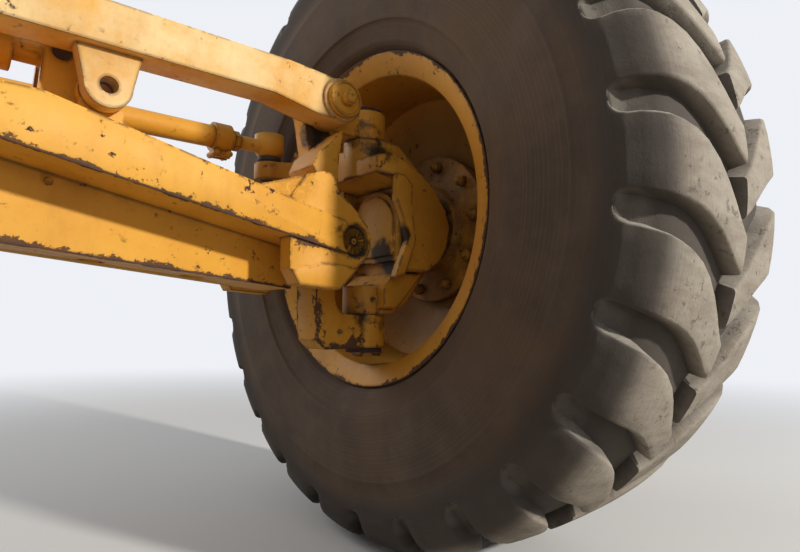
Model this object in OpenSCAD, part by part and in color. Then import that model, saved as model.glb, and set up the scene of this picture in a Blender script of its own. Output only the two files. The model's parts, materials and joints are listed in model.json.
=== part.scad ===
// Front axle of a motor grader, with leaning and steered wheels.
// +X is the machine's left, -Y its front, +Z up. The origin is on the axle's centre pivot bore.
// The left half is drawn at +X about the wheels' own height and is mirrored for the right.

/* [Wheels] */
// Distance between the middle planes of the two wheels
track = 2065; // [1960:5:2200]
// Height of the centre pivot above the wheels' axis
pivot_rise = 20; // [0:1:40]
// Radius of the tyre over its lugs
tyre_r = 688; // [670:1:720]
// Width of the tyre across its sidewalls
tyre_w = 456; // [440:1:470]
// Thickness of the tyre's sidewall
tyre_wall = 20; // [14:1:26]
// Thickness of the tyre under its tread
tyre_crown = 32; // [24:1:38]
// Depth of the tread lugs
lug_depth = 26; // [18:1:32]
// Number of lugs along each shoulder
lug_count = 26; // [22:1:30]
// Radius of the rim where the bead sits
bead_r = 317; // [312:1:322]
// Height of the rim's lip above the bead
lip_h = 38; // [30:1:42]
// Width of the rim over its lips
rim_w = 380; // [370:1:390]
// Thickness of the rim's metal
rim_t = 9; // [7:0.5:12]
// Thickness of the wheel disc
disc_t = 14; // [10:1:18]

/* [Hub] */
// Radius of the spindle in the hub
spindle_r = 46; // [40:1:52]
// Radius of the hub's bolting flange
flange_r = 172; // [165:1:180]
// Thickness of the hub's bolting flange
flange_t = 24; // [18:1:30]
// Distance of the flange's inner face outboard of the wheel's middle
flange_a = 14; // [8:1:20]
// Radius of the circle of wheel bolts
wheel_pcd_r = 145; // [140:1:150]
// Radius of one wheel bolt
wheel_bolt_r = 8; // [7:0.5:9]
// Number of wheel bolts
wheel_bolts = 10; // [8:1:12]

/* [Beam] */
// Half the breadth of the beam's top box, front to back
beam_half = 150; // [140:1:156]
// Half the breadth of the keel under the box
keel_half = 56; // [46:1:70]
// Thickness of the beam's plates
plate_t = 16; // [12:1:20]
// Thickness of one ear at the beam's end
ear_t = 40; // [34:1:42]
// Height of the front ears' peak over the wheels' axis
ear_peak = 45; // [30:1:50]
// Height of the back ears' peak
back_peak = 8; // [4:1:12]
// Radius of the centre pivot bore
pivot_r = 40; // [34:1:45]
// Radius of the centre pivot's boss
pivot_boss_r = 74; // [70:1:76]
// Radius of the pin that a wheel leans on
lean_pin_r = 27; // [24:1:29]

/* [Lean gear] */
// Distance of the lean pins inboard of the wheels' middles
lean_in = 312.5; // [308:0.5:318]
// Height of the lean pin
lean_z = -72; // [-76:1:-68]
// Height of the pin at the end of the lean bar
bar_z = 202; // [198:1:206]
// Radius of the lean bar's pins
bar_pin_r = 24; // [20:1:28]
// Depth of the lean bar, front to back
bar_t = 64; // [54:1:66]
// Height of the lean bar
bar_h = 67; // [60:1:70]
// Radius of the hole for the lean lock's pin
lock_r = 13; // [10:0.5:14]
// Distance of the lock hole from the middle of the axle
lock_x = 318; // [300:1:330]

/* [Steering] */
// Distance of the kingpins inboard of the wheels' middles
king_in = 182.5; // [178:0.5:187]
// Radius of the kingpins
king_r = 26; // [22:1:30]
// Radius of the tie rod's tube
tie_r = 25; // [20:1:28]
// Radius of the shank of a tie rod's end
shank_r = 14; // [12:0.5:15]
// Radius of the pin that slides in the right end of the tube
slide_r = 10; // [8:0.5:10]
// Room round that pin
slide_play = 12; // [11:0.5:12]
// Radius of a hydraulic cylinder's barrel
barrel_r = 36; // [32:1:38]
// Radius of a hydraulic cylinder's rod
rod_r = 18; // [15:1:21]

/* [Hidden] */
$fn = 96;
// Clearance round a pin that turns, and between faces that turn on each other
fit = 0.05;
face_gap = 1;
mid_x = track / 2;
lean_x = mid_x - lean_in;
king_x = mid_x - king_in;
front_y = -beam_half;
// Points [along X, height] given from a place x on the machine
function from(x, points) = [for (p = points) [x + p[0], p[1]]];
// Slopes of the beam: height at the middle and fall for each millimetre outward
top_mid = 132;
top_fall = 0.2444;
low_mid = 43;
low_fall = 0.2;
keel_mid = -89;
keel_fall = 0.107;
crest_x = 225;
rail_end = lean_x - 20;
keel_end = lean_x - 80;
// Where the beam stops between its ears, to let the lean support swing
slot_x = lean_x - 72;
function rail_top(x) = top_mid - top_fall * x;
function rail_low(x) = low_mid - low_fall * x;
function keel_low(x) = keel_mid - keel_fall * x;
// The lean bar and its end
bar_y = 52 - beam_half;
bar_mid_y = bar_y + bar_t / 2;
bar_low = 183;
boss_r = 42;
boss_out = 6;
lug_y0 = bar_y + bar_t + boss_out + face_gap;
lug_y1 = lug_y0 + 39;
// Heights of the kingpin joint's bosses: the support's outside the knuckle's
up_high = 228;
up_mid = 166;
up_low = 86;
dn_high = -144;
dn_mid = -203;
dn_low = -272;
up_boss_r = 45;
dn_boss_r = 45;
// The tie rod's ball, and the lugs on the beam and the knuckle that a steering cylinder goes between
ball = [king_x - 85, 270, 202];
arm_low = 121;
ball_r = 20;
socket_r = 35;
socket_h = 30;
steer_eye = [king_x - 10, 152, 44];
steer_base = [king_x - 620, beam_half + 50, 44];
steer_lug_t = 40;
steer_lug_r = 26;
// The lean cylinder's eye is opened: it sits lower than its pin by half of what the pin drops in a full lean
lean_drop = 6.7;
lean_play = 8;
lean_stub_r = 15;
lean_eye = [-lean_x, lug_y1 + 23, bar_z - lean_drop];
lean_base = [270, lug_y1 + 23, bar_z - lean_drop];
cyl_pin_r = 14;
eye_r = 28;
eye_t = 2 * rod_r + 3;
cheek_t = 14;
// The hub and wheel, as distances outboard of the wheel's middle
hub_r = 108;
hub_out = 170;
cap_r = 84;
cap_out = 196;
bell_t = 10;

// What is drawn about the wheels' height is set under the centre pivot; s is 1 on the left, -1 on the right
module side(s) {
    translate([0, 0, -pivot_rise]) {
        if (s > 0) children();
        else mirror([1, 0, 0]) children();
    }
}

// A cylinder along Y from y0 to y1 with its middle at x, z
module along_y(x, z, r, y0, y1) {
    translate([x, y1, z]) rotate([90, 0, 0]) cylinder(r = r, h = y1 - y0);
}

// A plate that lies in the X-Z plane between y0 and y1
module plate_y(points, y0, y1) {
    translate([0, y1, 0]) rotate([90, 0, 0]) linear_extrude(height = y1 - y0) polygon(points);
}

// A plate that lies flat between z0 and z1
module plate_z(points, z0, z1) {
    translate([0, 0, z0]) linear_extrude(height = z1 - z0) polygon(points);
}

// A turned piece on the wheel's axis: points are [distance outboard of the wheel's middle, radius]
module turned(points) {
    translate([mid_x, 0, 0]) rotate([0, 90, 0]) rotate_extrude() polygon([for (p = points) [p[1], p[0]]]);
}

/* Beam */

// Half of the beam's outer shape, or with inset > 0 of the room inside its plates
module beam_half_shape(inset, rail_x, keel_x) {
    plate_y([
        [-1, rail_top(crest_x) - inset],
        [crest_x, rail_top(crest_x) - inset],
        [rail_x, rail_top(rail_x) - inset],
        [rail_x, rail_low(rail_x) + inset],
        [-1, rail_low(0) + inset]
    ], -beam_half + inset, beam_half - inset);
    plate_y([
        [-1, rail_top(crest_x) - 2 * plate_t],
        [crest_x, rail_top(crest_x) - 2 * plate_t],
        [keel_x, rail_low(keel_x) + plate_t],
        [keel_x, keel_low(keel_x) + inset],
        [-1, keel_low(0) + inset]
    ], -keel_half + inset, keel_half - inset);
}

// Outline of an ear: [x, z] up from the box, over its peak and down to the nose round the pin, then back
// below
ear_line = from(lean_x, [[-134, -40], [-134, -7], [-102, 35], [-71, ear_peak], [-56, ear_peak],
    [-46, ear_peak - 7], [-35, 12], [0, -15], [28, -42], [37, -72], [30, -95], [2, -123], [-36, -161],
    [-118, -155], [-134, -128]]);
// Outline of the web that runs from the box to the ear's peak
web_line = from(lean_x, [[-196, 4], [-188, 6], [-102, 35], [-80, 35], [-80, -40], [-160, -40]]);
// Outline of the thick foot in front of the ear, under the box
foot_line = from(lean_x, [[-132, -131], [-72, -117], [-42, -118], [2, -123], [-36, -161], [-118, -155]]);
ear_step = 5;

module ears() {
    for (f = [-1, 1]) scale_y(f) {
        peak = f < 0 ? ear_peak : back_peak;
        plate_y(low_peak(ear_line, peak), front_y + ear_step, front_y + ear_t);
        plate_y(low_peak(web_line, peak - 4), front_y + 2 * ear_step, front_y + ear_t);
        plate_y(foot_line, front_y, front_y + ear_t);
    }
}
function low_peak(points, z) = [for (p = points) [p[0], min(p[1], z)]];

// The same piece at the front and, mirrored, at the back
module scale_y(f) {
    if (f < 0) children();
    else mirror([0, 1, 0]) children();
}

// The ear that the lock's pin goes through, on top of the beam
lock_z = 130;
lock_lug_r = 34;
lock_lug_y = [bar_mid_y - 15, bar_mid_y + 15];
lock_ear_y = [lock_lug_y[1] + 5, lock_lug_y[1] + 29];
module lock_ear() {
    plate_y([[lock_x - 48, rail_top(lock_x) - 4], [lock_x - 20, lock_z + 18], [lock_x + 20, lock_z + 18],
        [lock_x + 44, rail_top(lock_x) - 22]], lock_ear_y[0], lock_ear_y[1]);
    along_y(lock_x, lock_z, lock_lug_r, lock_ear_y[0], lock_ear_y[1]);
}

// The pair of cheeks that holds the base of the lean cylinder
module lean_bracket() {
    for (y = [-eye_t / 2 - face_gap - cheek_t, eye_t / 2 + face_gap]) {
        plate_y([[lean_base[0] - 34, rail_top(lean_base[0]) - 6], [lean_base[0] - 24, lean_base[2]],
            [lean_base[0] + 24, lean_base[2]], [lean_base[0] + 44, rail_top(lean_base[0]) - 18]],
            lean_base[1] + y, lean_base[1] + y + cheek_t);
        along_y(lean_base[0], lean_base[2], 25, lean_base[1] + y, lean_base[1] + y + cheek_t);
    }
}

// The lug behind the beam that holds the base of a steering cylinder
module steer_bracket() {
    x = steer_base[0];
    y = steer_base[1];
    translate([0, 0, steer_base[2] - steer_lug_t / 2]) linear_extrude(height = steer_lug_t) difference() {
        union() {
            polygon([[x - 62, beam_half - 12], [x + 62, beam_half - 12], [x + steer_lug_r, y],
                [x - steer_lug_r, y]]);
            translate([x, y]) circle(r = steer_lug_r);
        }
        translate([x, y]) circle(r = cyl_pin_r);
    }
}

module beam_side() {
    ears();
    steer_bracket();
}

module axle_beam() color("goldenrod") translate([0, 0, -pivot_rise]) difference() {
    union() {
        difference() {
            for (s = [0, 1]) mirror([s, 0, 0]) beam_half_shape(0, rail_end, keel_end);
            for (s = [0, 1]) mirror([s, 0, 0]) beam_half_shape(plate_t, slot_x - plate_t,
                keel_end - plate_t);
        }
        for (s = [0, 1]) mirror([s, 0, 0]) beam_side();
        along_y(0, pivot_rise, pivot_boss_r, -beam_half - 10, beam_half + 10);
        lock_ear();
        lean_bracket();
    }
    along_y(0, pivot_rise, pivot_r, -beam_half - 12, beam_half + 12);
    for (s = [-1, 1]) along_y(s * lean_x, lean_z, lean_pin_r, -beam_half - 20, beam_half + 20);
    for (s = [-1, 1]) along_y(s * lean_x, lean_z, lean_pin_r + 3, -beam_half - 20,
        -beam_half + ear_step + 8);
    for (s = [-1, 1]) translate([s * (slot_x + 60) - 60, -beam_half + ear_t, -200])
        cube([120, 2 * (beam_half - ear_t), 300]);
    along_y(lock_x, lock_z, lock_r, lock_ear_y[0] - 1, lock_ear_y[1] + 1);
    along_y(lean_base[0], lean_base[2], cyl_pin_r, lean_base[1] - 60, lean_base[1] + 60);
    // Hollows under the box where its drain plugs sit
    for (x = [-480, -320, 320, 480]) translate([x, 0, keel_low(abs(x)) - 4]) cylinder(r = 18, h = 12);
}

pin_end = beam_half - ear_step - 6;
module lean_pin(s) side(s) color("dimgray") difference() {
    along_y(lean_x, lean_z, lean_pin_r, -pin_end, pin_end);
    for (f = [-1, 1]) scale_y(f) along_y(lean_x, lean_z, 8, -pin_end - 1, -pin_end + 14);
}

/* Lean support: the C-shaped casting between the beam and the kingpins */

barrel_y = beam_half - ear_t - face_gap;
// Outlines of the support, [x, z]: its back from the lean pin to the kingpin's upper boss
bar_x0 = lean_x - 38;
support_upper = concat(from(lean_x, [[-38, -66], [36, -66], [36, 20], [24, 112], [32, up_mid + face_gap]]),
    [[king_x, up_mid + face_gap], [king_x, up_high]],
    from(lean_x, [[70, up_high], [42, bar_z + 36], [-38, bar_z + 26], [-40, bar_z - 12], [-28, 120],
    [-34, 20]]));
// The horn in front of it, which rises from the barrel to a point
support_rib = from(lean_x, [[-34, -60], [-10, -60], [-12, 60], [-8, 100], [0, 143], [-8, 139], [-30, 113],
    [-54, 92], [-66, 66], [-50, 32], [-38, 0]]);
// The low web behind it
support_web = from(lean_x, [[-30, -60], [-6, -60], [-8, 60], [-58, 60], [-46, 32], [-34, 0]]);
// The arm under the barrel that carries the kingpin's lower boss
support_lower = concat(from(lean_x, [[-12, -80], [30, -80], [31, -174], [37, -190], [48, -200],
    [62, dn_mid - face_gap]]),
    [[king_x, dn_mid - face_gap], [king_x, dn_low]],
    from(lean_x, [[10, dn_low], [-8, dn_low + 18], [-12, -204]]));

module lean_support(s) side(s) color("goldenrod") difference() {
    union() {
        along_y(lean_x, lean_z, 46, -barrel_y, barrel_y);
        plate_y(support_upper, lug_y0, lug_y1);
        plate_y(support_rib, -barrel_y + 4, lug_y0 + 10);
        plate_y(support_web, lug_y1 - 12, lug_y1 + 40);
        along_y(lean_x, bar_z, 44, lug_y0, lug_y1);
        translate([king_x, 0, up_mid + face_gap]) cylinder(r = up_boss_r, h = up_high - up_mid - face_gap);
        plate_y(support_lower, -36, 36);
        translate([king_x, 0, dn_low]) cylinder(r = dn_boss_r, h = dn_mid - face_gap - dn_low);
        if (s < 0) lean_lugs();
    }
    along_y(lean_x, lean_z, lean_pin_r + fit, -barrel_y - 1, barrel_y + 1);
    along_y(lean_x, bar_z, bar_pin_r, lug_y0 - 1, lug_y1 + 2);
    if (s < 0) along_y(lean_x, bar_z, lean_stub_r, lug_y0 - 1, lug_y1 + 90);
    translate([king_x, 0, dn_low - 10]) cylinder(r = king_r, h = up_high - dn_low + 20);
}

// Lug for the lean cylinder's rod, on the right support only
module lean_lugs() {
    along_y(lean_x, bar_z, 30, lug_y1 - 1, lean_base[1] - eye_t / 2 - face_gap);
}

module kingpins(s) side(s) color("silver") {
    translate([king_x, 0, up_low + 3]) cylinder(r = king_r, h = up_high + 6 - up_low - 3);
    translate([king_x, 0, up_high]) cylinder(r = 38, h = 10);
    translate([king_x, 0, dn_low - 6]) cylinder(r = king_r, h = dn_high - 3 - dn_low + 6);
    translate([king_x, 0, dn_low - 10]) cylinder(r = 38, h = 10);
}

/* Lean bar */

bar_shape = concat([[0, bar_low]], from(lean_x, [[-140, bar_low], [-60, bar_low - 15],
    [0, bar_z - boss_r + 2],
    [0, bar_z + boss_r - 2], [-44, bar_low + bar_h - 5], [-110, bar_low + bar_h]]), [[0, bar_low + bar_h]]);

module lean_bar() translate([0, 0, -pivot_rise]) color("goldenrod") difference() {
    union() {
        for (s = [0, 1]) mirror([s, 0, 0]) {
            plate_y(bar_shape, bar_y, bar_y + bar_t);
            along_y(lean_x, bar_z, boss_r, bar_y - boss_out, bar_y + bar_t + boss_out);
        }
        // The lug under the bar for the lock's pin
        plate_y([[lock_x - 46, bar_low + 2], [lock_x - lock_lug_r, lock_z], [lock_x + lock_lug_r, lock_z],
            [lock_x + 46, bar_low + 2]], lock_lug_y[0], lock_lug_y[1]);
        along_y(lock_x, lock_z, lock_lug_r, lock_lug_y[0], lock_lug_y[1]);
    }
    for (s = [-1, 1]) along_y(s * lean_x, bar_z, bar_pin_r + fit, bar_y - 20, bar_y + bar_t + 20);
    along_y(lock_x, lock_z, lock_r, lock_lug_y[0] - 1, lock_lug_y[1] + 1);
}

module bar_pin(s) side(s) color("dimgray") {
    along_y(lean_x, bar_z, bar_pin_r, bar_y - boss_out - face_gap - 2, lug_y1 + 2);
    along_y(lean_x, bar_z, 35, bar_y - boss_out - face_gap - 10, bar_y - boss_out - face_gap);
    translate([lean_x, bar_y - boss_out - face_gap - 10, bar_z]) rotate([90, 0, 0])
        cylinder(r = 14, h = 18, $fn = 6);
    // On the right a stub with a washer goes on through the lean cylinder's eye
    if (s < 0) {
        along_y(lean_x, bar_z, lean_stub_r, lug_y1, lean_eye[1] + eye_t / 2 + face_gap + 6);
        along_y(lean_x, bar_z, 26, lean_eye[1] + eye_t / 2 + face_gap,
            lean_eye[1] + eye_t / 2 + face_gap + 8);
    }
}

/* Knuckle: the yoke between the kingpins that carries the spindle and the steering arm */

// Outlines of the yoke, [x, z]: its full breadth, and the narrower arms to the kingpins' bosses
window_x = king_x + 44;
yoke_wide = from(king_x, [[-38, 118], [3, 129], [55, 108], [93, 91], [125, 63], [155, 29], [170, -9],
    [158, -58],
    [138, -87], [100, -112], [44, -112], [36, -104], [40, -50], [22, 30], [22, 74], [14, 84], [-38, 84]]);
yoke_mid = from(king_x, [[0, up_mid], [55, up_mid - 4], [110, 120], [156, 60], [162, -60], [122, -122],
    [80, -176], [36, dn_mid], [0, dn_mid], [0, dn_high], [32, dn_high], [44, dn_high + 14],
        [44, up_low - 10],
    [34, up_low], [0, up_low]]);
// The raised frame at the window's front and back edges
yoke_frame = from(king_x, [[8, 86], [8, 30], [24, 1], [38, -50], [16, -97], [2, -130], [30, -122],
    [40, -102],
    [61, -48], [49, 25], [52, 67], [30, 86]]);
// The tongue over the window, which carries the upper boss
yoke_top = from(king_x, [[-38, 118], [3, 129], [55, 108], [93, 91], [93, 70], [45, 70], [-38, 84]]);
// The web under the window, between the yoke and the lower boss
yoke_low = from(king_x, [[0, dn_mid + 12], [34, dn_mid + 12], [107, -116], [30, -118], [3, -140],
    [0, -140]]);

module knuckle(s) side(s) color("goldenrod") difference() {
    union() {
        plate_y(yoke_mid, -52, 52);
        plate_y(yoke_low, -70, 70);
        plate_y(yoke_top, -85, 85);
        for (f = [-1, 1]) scale_y(f) plate_y(yoke_wide, -92, -84);
        for (f = [-1, 1]) scale_y(f) plate_y(yoke_frame, -100, -84);
        plate_y([for (p = yoke_wide) [max(p[0], window_x), p[1]]], -85, 85);
        translate([king_x, 0, up_low]) cylinder(r = up_boss_r, h = up_mid - up_low);
        translate([king_x, 0, dn_mid]) cylinder(r = dn_boss_r, h = dn_high - dn_mid);
        // The steering arm: back from the yoke, then inboard to the ball
        plate_z(concat(from(king_x, [[-8, 40], [55, 40], [62, 150], [30, 214], [-35, 268]]),
            [[ball[0], ball[1] + 34], [ball[0] - 30, ball[1] + 18], [ball[0] - 30, ball[1] - 18],
            [ball[0], ball[1] - 34]], from(king_x, [[-42, 214], [-12, 160]])), arm_low, up_mid - 4);
        translate([ball[0], ball[1], arm_low]) cylinder(r = 35, h = up_mid - 4 - arm_low);
        steer_lug();
        // The spindle
        translate([king_x + 150, 0, 0]) rotate([0, 90, 0])
            cylinder(r = spindle_r, h = king_in + hub_out - 36 - 150);
    }
    translate([king_x, 0, up_low - 1]) cylinder(r = king_r + fit, h = up_mid - up_low + 2);
    translate([king_x, 0, dn_mid - 1]) cylinder(r = king_r + fit, h = dn_high - dn_mid + 2);
    translate([ball[0], ball[1], arm_low - 1]) cylinder(r = 12 + fit, h = 60);
}

// The lug behind the yoke that a steering cylinder's rod is pinned to
module steer_lug() {
    translate([0, 0, steer_eye[2] - steer_lug_t / 2]) linear_extrude(height = steer_lug_t) difference() {
        union() {
            polygon(from(steer_eye[0], [[-steer_lug_r, steer_eye[1]], [-14, 110], [30, 84], [100, 84],
                [100, 98],
                [steer_lug_r, steer_eye[1]]]));
            translate([steer_eye[0], steer_eye[1]]) circle(r = steer_lug_r);
        }
        translate([steer_eye[0], steer_eye[1]]) circle(r = cyl_pin_r);
    }
}

// The arched cover over the spindle's inner end, in the yoke's window
cover_r = 79;
cover_z = -14;
module cover_arch(r, x0, x1) {
    translate([x0, 0, cover_z]) rotate([0, 90, 0]) linear_extrude(height = x1 - x0) union() {
        circle(r = r);
        translate([0, -r]) square([r - 2, 2 * r]);
    }
}
module spindle_cover(s) side(s) color("goldenrod") {
    cover_arch(cover_r, window_x - 14, window_x - 0.3);
    cover_arch(cover_r - 12, window_x - 20, window_x - 13);
}

/* Wheel */

module hub(s) side(s) color("goldenrod") difference() {
    turned([[1, spindle_r + fit], [1, 92], [flange_a, 100], [flange_a, flange_r],
        [flange_a + flange_t, flange_r], [flange_a + flange_t, hub_r], [hub_out - 20, hub_r - 8],
        [hub_out, cap_r], [hub_out, spindle_r + fit]]);
    wheel_circle() cylinder(r = wheel_bolt_r, h = 80);
}

// One copy for each wheel bolt, with +Z outboard from the flange's inner face
module wheel_circle() {
    for (i = [0 : wheel_bolts - 1]) translate([mid_x + flange_a - 20, 0, 0])
        rotate([i * 360 / wheel_bolts + 12, 0, 0]) translate([0, 0, wheel_pcd_r])
            rotate([0, 90, 0]) children();
}

module hub_cap(s) side(s) color("goldenrod") {
    turned([[hub_out, 0], [hub_out, cap_r - 6], [cap_out - 6, cap_r - 14], [cap_out, cap_r - 30],
        [cap_out, 0]]);
}

module wheel_bolt_set(s) side(s) color("dimgray") wheel_circle() {
    cylinder(r = wheel_bolt_r, h = 20 + flange_t + disc_t + 18);
    translate([0, 0, 7]) cylinder(r = 13.5, h = 13, $fn = 6);
    translate([0, 0, 20 + flange_t + disc_t]) cylinder(r = 13.5, h = 12, $fn = 6);
}

// Outside of the rim's edge, which the tyre's bead sits on, from the seat to the lip: [distance, radius]
lip_a = rim_w / 2;
lip_r = bead_r + lip_h;
bead_line = [[lip_a - 56, bead_r - 1], [lip_a - 28, bead_r + 1], [lip_a - 14, bead_r + 18],
    [lip_a - 9, lip_r]];
// The rim's section on one side of its middle: the outside, then the inside
rim_out = concat([[20, bead_r - 8]], bead_line, [[lip_a, lip_r]]);
rim_in = [[lip_a, lip_r - 5], [lip_a - 22, bead_r - 7], [lip_a - 62, bead_r - 1 - rim_t],
    [20, bead_r - 8 - rim_t]];
function mirrored(points) = [for (i = [len(points) - 1 : -1 : 0]) [-points[i][0], points[i][1]]];
disc_a = flange_a + flange_t;

module rim(s) side(s) color("goldenrod") difference() {
    union() {
        turned(concat(rim_out, rim_in, mirrored(rim_in), mirrored(rim_out)));
        turned([[disc_a, hub_r + 0.5], [disc_a, 190], [-18, bead_r - 9], [-18 + disc_t + 4, bead_r - 9],
            [disc_a + disc_t, 196], [disc_a + disc_t, hub_r + 0.5]]);
    }
    wheel_circle() cylinder(r = wheel_bolt_r, h = 90);
}

// The tyre's section on one side of its middle: the outside from the bead up, then the inside down
tread_r = tyre_r - lug_depth;
half_w = tyre_w / 2;
tyre_out = concat([bead_line[1] + [-0.8, 1.5], bead_line[2] + [-0.8, 1.2], bead_line[3] + [-0.8, 0]],
    [[half_w - 3, bead_r + 120], [half_w - 3, bead_r + 220],
    [half_w - 26, tyre_r - 66], [half_w - 60, tread_r - 8]]);
tyre_in = [[half_w - 78, tread_r - 8 - tyre_crown], [half_w - tyre_wall - 8, tyre_r - 130],
    [lip_a - 60, bead_r + 24]];

// A lug runs through its stations: [distance from the middle, top radius, turn in degrees, width]
lug_stations = [[half_w - 12, tyre_r - 66, -1.0, 76], [half_w - 22, tyre_r - 12, -0.6, 90],
    [half_w - 112, tyre_r - 2, 1.6, 90], [-4, tyre_r, 9.8, 58]];

module lug_station(st) {
    rotate([st[2], 0, 0]) translate([st[0] - 2, -st[3] / 2, st[1] - lug_depth - 12])
        cube([4, st[3], lug_depth + 12]);
}

module tyre(s) side(s) color("dimgray") {
    turned(concat(tyre_out, tyre_in, mirrored(tyre_in), mirrored(tyre_out)), $fn = 40);
    for (f = [0, 1], i = [0 : lug_count - 1])
        translate([mid_x, 0, 0]) mirror([f, 0, 0]) rotate([(i + f / 2) * 360 / lug_count, 0, 0])
            for (k = [0 : 2]) hull() {
                lug_station(lug_stations[k]);
                lug_station(lug_stations[k + 1]);
            }
}

/* Tie rod */

module tie_stud(s) side(s) color("silver") translate([ball[0], ball[1], 0]) {
    translate([0, 0, arm_low - 20]) cylinder(r = 12, h = ball[2] - arm_low + 20);
    translate([0, 0, arm_low - 16]) cylinder(r = 20, h = 16, $fn = 6);
    translate([0, 0, ball[2]]) sphere(r = ball_r);
}

// The boot's top is hollowed round the ball's centre, so the socket tilts over it
module tie_boot(s) side(s) color("black") translate([ball[0], ball[1], 0]) difference() {
    rotate_extrude() polygon([[12, up_mid - 4], [25, up_mid - 4], [29, up_mid + 3], [28, ball[2] - 26],
        [12, ball[2] - 26]]);
    translate([0, 0, ball[2]]) sphere(r = socket_r + 0.4);
}

tube_x = ball[0] - 97;
clamp_x = tube_x - 28;
slide_in = 110;
module tie_socket(r, inside) {
    difference() {
        union() {
            translate(ball) cylinder(r = socket_r, h = socket_h);
            intersection() {
                translate(ball) sphere(r = socket_r);
                translate([ball[0], ball[1], ball[2] - socket_h])
                    cylinder(r = socket_r + 1, h = socket_h + 1);
            }
            translate([tube_x - inside, ball[1], ball[2]]) rotate([0, 90, 0])
                cylinder(r = r, h = ball[0] - tube_x + inside - 20);
            translate([tube_x + 14, ball[1], ball[2]]) rotate([0, 90, 0])
                cylinder(r = shank_r + 2, h = ball[0] - tube_x - 14 - 20);
        }
        translate(ball) sphere(r = ball_r + fit);
        translate([ball[0], ball[1], ball[2] - socket_h - 2]) cylinder(r1 = 24, r2 = 16.6, h = socket_h - 9);
    }
}

module tie_end(s) side(s) color("goldenrod") tie_socket(s > 0 ? shank_r : slide_r, s > 0 ? 60 : slide_in);

// The tube is screwed onto the left end; the right end slides in it where the linkage is opened
module tie_rod() translate([0, ball[1], ball[2] - pivot_rise]) color("goldenrod") rotate([0, 90, 0])
    difference() {
        cylinder(r = tie_r, h = 2 * tube_x, center = true);
        translate([0, 0, tube_x - 90]) cylinder(r = shank_r, h = 100);
        translate([0, 0, -tube_x - 10]) cylinder(r = slide_r + slide_play, h = slide_in + 30);
    }

module tie_clamps() for (s = [-1, 1]) side(s) color("goldenrod")
    translate([clamp_x - 20, ball[1], ball[2]]) {
    rotate([0, 90, 0]) difference() {
        cylinder(r = tie_r + 8, h = 40);
        translate([0, 0, -1]) cylinder(r = tie_r, h = 42);
    }
    for (x = [5, 35]) translate([x, 0, -tie_r - 14]) rotate([90, 0, 0]) cylinder(r = 7, h = 44,
        center = true);
    translate([0, -12, -tie_r - 22]) difference() {
        cube([40, 24, 20]);
        translate([-1, 8, -1]) cube([42, 8, 12]);
    }
}

/* Lean cylinder: drawn along +X from the base pin at 0 to the rod's pin at length */

// Distance from the base pin to the barrel's end cap, with a neck between them
neck = 62;
module cyl_barrel(body) difference() {
    union() {
        translate([neck, 0, 0]) rotate([0, 90, 0]) cylinder(r = barrel_r, h = body);
        rotate([0, 90, 0]) cylinder(r = eye_t / 2 - 1, h = neck + 1);
        cylinder(r = eye_r, h = eye_t, center = true);
        translate([neck + body - 26, 0, 0]) rotate([0, 90, 0]) cylinder(r = barrel_r + 6, h = 26);
    }
    cylinder(r = cyl_pin_r + fit, h = 100, center = true);
    translate([neck + 12, 0, 0]) rotate([0, 90, 0]) cylinder(r = rod_r + fit, h = body);
}

// The rod runs from its eye back into the barrel, and reaches inside by the length given
module cyl_rod(length, body, inside) difference() {
    union() {
        cylinder(r = eye_r, h = eye_t, center = true);
        translate([neck + body - inside - length, 0, 0]) rotate([0, 90, 0])
            cylinder(r = rod_r, h = length - neck - body + inside - 20);
    }
    cylinder(r = cyl_pin_r + fit, h = 100, center = true);
}

lean_len = lean_base[0] - lean_eye[0];
lean_body = 500;

module lean_barrel() translate([0, 0, -pivot_rise]) color("goldenrod") translate(lean_base)
    rotate([90, 0, 0]) mirror([1, 0, 0]) cyl_barrel(lean_body);
module lean_rod() translate([0, 0, -pivot_rise]) color("silver") translate(lean_eye) difference() {
    union() {
        rotate([90, 0, 0]) mirror([1, 0, 0]) cyl_rod(lean_len, lean_body, 150);
        along_y(0, 0, lean_stub_r + lean_play + 13, -eye_t / 2, eye_t / 2);
    }
    along_y(0, 0, lean_stub_r + lean_play, -60, 60);
}
module lean_base_pin() translate([0, 0, -pivot_rise]) color("dimgray")
    along_y(lean_base[0], lean_base[2], cyl_pin_r, lean_base[1] - 38, lean_base[1] + 38);

axle_beam();
lean_pin(1);  // lean_pin_left
lean_pin(-1);  // lean_pin_right
lean_support(1);  // lean_support_left
lean_support(-1);  // lean_support_right
kingpins(1);  // kingpins_left
kingpins(-1);  // kingpins_right
lean_bar();
bar_pin(1);  // bar_pin_left
bar_pin(-1);  // bar_pin_right
knuckle(1);  // knuckle_left
knuckle(-1);  // knuckle_right
spindle_cover(1);  // spindle_cover_left
spindle_cover(-1);  // spindle_cover_right
hub(1);  // hub_left
hub(-1);  // hub_right
hub_cap(1);  // hub_cap_left
hub_cap(-1);  // hub_cap_right
wheel_bolt_set(1);  // wheel_bolts_left
wheel_bolt_set(-1);  // wheel_bolts_right
rim(1);  // rim_left
rim(-1);  // rim_right
tyre(1);  // tyre_left
tyre(-1);  // tyre_right
tie_stud(1);  // tie_stud_left
tie_stud(-1);  // tie_stud_right
tie_boot(1);  // tie_boot_left
tie_boot(-1);  // tie_boot_right
tie_rod();
tie_clamps();
tie_end(1);  // tie_end_left
tie_end(-1);  // tie_end_right
lean_barrel();
lean_rod();
lean_base_pin();
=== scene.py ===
"""Looks of the front axle of a motor grader: paint, steel, rubber, welds, bolts, tread and a plain stage."""

import json
import math

import bmesh
import bpy
from mathutils import Matrix, Vector

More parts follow.
